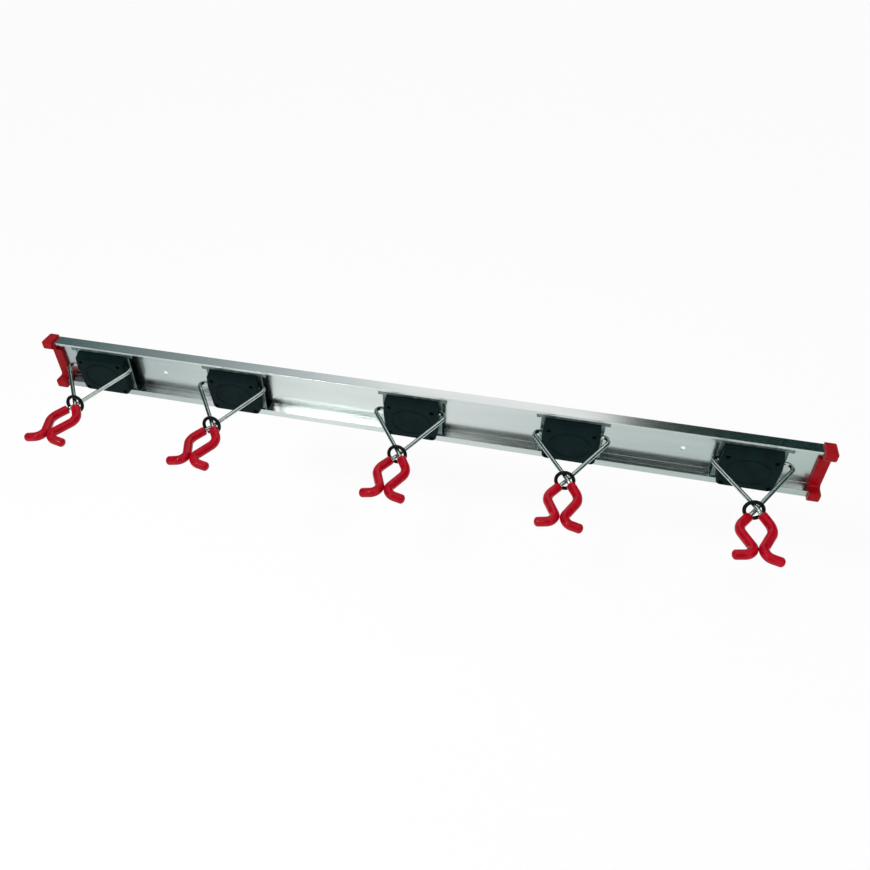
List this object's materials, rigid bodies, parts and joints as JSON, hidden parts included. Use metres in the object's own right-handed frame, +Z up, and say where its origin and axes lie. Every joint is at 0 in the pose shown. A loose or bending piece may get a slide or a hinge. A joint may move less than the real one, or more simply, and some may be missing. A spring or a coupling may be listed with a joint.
{
  "type": "wall rack with sliding handle clamps",
  "caption": "Aluminium wall rail with end caps and sliding holders whose crossed wire arms clamp long tool handles.",
  "frame": {"origin": "on the rail's flat back, halfway along the rail and halfway up it", "axes": "+X along the rail to the right as seen from the room, +Y into the wall, +Z up"},
  "size_m": [1, 0.164, 0.0756],
  "materials": {
    "rail_aluminium": "extruded, satin",
    "zinc_steel": "zinc plated, bright",
    "housing_plastic": "moulded, satin",
    "red_plastic": "moulded",
    "red_sleeve": "soft vinyl",
    "black_rubber": "smooth"
  },
  "bodies": {
    "wall_rail": {"rail": "rail_aluminium", "left_end_cap": "red_plastic", "right_end_cap": "red_plastic"},
    "holder_1": {"holder_1_slider": "zinc_steel", "holder_1_base": "housing_plastic", "holder_1_cover": "housing_plastic"},
    "holder_1_left_jaw": {"holder_1_left_arm": "zinc_steel", "holder_1_left_arm_sleeve": "red_sleeve"},
    "holder_1_right_jaw": {"holder_1_right_arm": "zinc_steel", "holder_1_right_arm_sleeve": "red_sleeve"},
    "holder_1_ring": {"holder_1_ring": "black_rubber"},
    "holder_2": {"holder_2_slider": "zinc_steel", "holder_2_base": "housing_plastic", "holder_2_cover": "housing_plastic"},
    "holder_2_left_jaw": {"holder_2_left_arm": "zinc_steel", "holder_2_left_arm_sleeve": "red_sleeve"},
    "holder_2_right_jaw": {"holder_2_right_arm": "zinc_steel", "holder_2_right_arm_sleeve": "red_sleeve"},
    "holder_2_ring": {"holder_2_ring": "black_rubber"},
    "holder_3": {"holder_3_slider": "zinc_steel", "holder_3_base": "housing_plastic", "holder_3_cover": "housing_plastic"},
    "holder_3_left_jaw": {"holder_3_left_arm": "zinc_steel", "holder_3_left_arm_sleeve": "red_sleeve"},
    "holder_3_right_jaw": {"holder_3_right_arm": "zinc_steel", "holder_3_right_arm_sleeve": "red_sleeve"},
    "holder_3_ring": {"holder_3_ring": "black_rubber"},
    "holder_4": {"holder_4_slider": "zinc_steel", "holder_4_base": "housing_plastic", "holder_4_cover": "housing_plastic"},
    "holder_4_left_jaw": {"holder_4_left_arm": "zinc_steel", "holder_4_left_arm_sleeve": "red_sleeve"},
    "holder_4_right_jaw": {"holder_4_right_arm": "zinc_steel", "holder_4_right_arm_sleeve": "red_sleeve"},
    "holder_4_ring": {"holder_4_ring": "black_rubber"},
    "holder_5": {"holder_5_slider": "zinc_steel", "holder_5_base": "housing_plastic", "holder_5_cover": "housing_plastic"},
    "holder_5_left_jaw": {"holder_5_left_arm": "zinc_steel", "holder_5_left_arm_sleeve": "red_sleeve"},
    "holder_5_right_jaw": {"holder_5_right_arm": "zinc_steel", "holder_5_right_arm_sleeve": "red_sleeve"},
    "holder_5_ring": {"holder_5_ring": "black_rubber"}
  },
  "joints": [
    {"name": "holder_1_slide", "type": "slide", "parent": "wall_rail", "child": "holder_1", "axis": [1, 0, 0], "range_m": [-0.023, 0.038]},
    {"name": "holder_1_lift", "type": "hinge", "parent": "holder_1", "child": "holder_1_left_jaw", "pos_m": [-0.451, -0.019, 0.0068], "axis": [-0.9781, 0, 0.2079], "range_deg": [0, 50]},
    {"name": "holder_1_right_lift", "type": "hinge", "parent": "holder_1", "child": "holder_1_right_jaw", "pos_m": [-0.385, -0.019, 0.0122], "axis": [-0.9781, 0, -0.2079], "range_deg": [0, 50]},
    {"name": "holder_1_ring_slide", "type": "slide", "parent": "holder_1_left_jaw", "child": "holder_1_ring", "axis": [0.5763, -0.8155, -0.0532], "range_m": [-0.0135, 0]},
    {"name": "holder_2_slide", "type": "slide", "parent": "wall_rail", "child": "holder_2", "axis": [1, 0, 0], "range_m": [-0.038, 0.062]},
    {"name": "holder_2_lift", "type": "hinge", "parent": "holder_2", "child": "holder_2_left_jaw", "pos_m": [-0.263, -0.019, 0.0068], "axis": [-0.9781, 0, 0.2079], "range_deg": [0, 50]},
    {"name": "holder_2_right_lift", "type": "hinge", "parent": "holder_2", "child": "holder_2_right_jaw", "pos_m": [-0.197, -0.019, 0.0122], "axis": [-0.9781, 0, -0.2079], "range_deg": [0, 50]},
    {"name": "holder_2_ring_slide", "type": "slide", "parent": "holder_2_left_jaw", "child": "holder_2_ring", "axis": [0.5763, -0.8155, -0.0532], "range_m": [-0.0135, 0]},
    {"name": "holder_3_slide", "type": "slide", "parent": "wall_rail", "child": "holder_3", "axis": [1, 0, 0], "range_m": [-0.062, 0.043]},
    {"name": "holder_3_lift", "type": "hinge", "parent": "holder_3", "child": "holder_3_left_jaw", "pos_m": [-0.026, -0.019, 0.0068], "axis": [-0.9781, 0, 0.2079], "range_deg": [0, 50]},
    {"name": "holder_3_right_lift", "type": "hinge", "parent": "holder_3", "child": "holder_3_right_jaw", "pos_m": [0.04, -0.019, 0.0122], "axis": [-0.9781, 0, -0.2079], "range_deg": [0, 50]},
    {"name": "holder_3_ring_slide", "type": "slide", "parent": "holder_3_left_jaw", "child": "holder_3_ring", "axis": [0.5763, -0.8155, -0.0532], "range_m": [-0.0135, 0]},
    {"name": "holder_4_slide", "type": "slide", "parent": "wall_rail", "child": "holder_4", "axis": [1, 0, 0], "range_m": [-0.043, 0.047]},
    {"name": "holder_4_lift", "type": "hinge", "parent": "holder_4", "child": "holder_4_left_jaw", "pos_m": [0.172, -0.019, 0.0068], "axis": [-0.9781, 0, 0.2079], "range_deg": [0, 50]},
    {"name": "holder_4_right_lift", "type": "hinge", "parent": "holder_4", "child": "holder_4_right_jaw", "pos_m": [0.238, -0.019, 0.0122], "axis": [-0.9781, 0, -0.2079], "range_deg": [0, 50]},
    {"name": "holder_4_ring_slide", "type": "slide", "parent": "holder_4_left_jaw", "child": "holder_4_ring", "axis": [0.5763, -0.8155, -0.0532], "range_m": [-0.0135, 0]},
    {"name": "holder_5_slide", "type": "slide", "parent": "wall_rail", "child": "holder_5", "axis": [1, 0, 0], "range_m": [-0.047, 0.029]},
    {"name": "holder_5_lift", "type": "hinge", "parent": "holder_5", "child": "holder_5_left_jaw", "pos_m": [0.379, -0.019, 0.0068], "axis": [-0.9781, 0, 0.2079], "range_deg": [0, 50]},
    {"name": "holder_5_right_lift", "type": "hinge", "parent": "holder_5", "child": "holder_5_right_jaw", "pos_m": [0.445, -0.019, 0.0122], "axis": [-0.9781, 0, -0.2079], "range_deg": [0, 50]},
    {"name": "holder_5_ring_slide", "type": "slide", "parent": "holder_5_left_jaw", "child": "holder_5_ring", "axis": [0.5763, -0.8155, -0.0532], "range_m": [-0.0135, 0]}
  ],
  "couplings": [
    {"joint": "holder_1_right_lift", "follows": "holder_1_lift", "ratio": 1},
    {"joint": "holder_1_ring_slide", "follows": "holder_1_lift", "m_per_rad": -0.015},
    {"joint": "holder_2_right_lift", "follows": "holder_2_lift", "ratio": 1},
    {"joint": "holder_2_ring_slide", "follows": "holder_2_lift", "m_per_rad": -0.015},
    {"joint": "holder_3_right_lift", "follows": "holder_3_lift", "ratio": 1},
    {"joint": "holder_3_ring_slide", "follows": "holder_3_lift", "m_per_rad": -0.015},
    {"joint": "holder_4_right_lift", "follows": "holder_4_lift", "ratio": 1},
    {"joint": "holder_4_ring_slide", "follows": "holder_4_lift", "m_per_rad": -0.015},
    {"joint": "holder_5_right_lift", "follows": "holder_5_lift", "ratio": 1},
    {"joint": "holder_5_ring_slide", "follows": "holder_5_lift", "m_per_rad": -0.015}
  ]
}
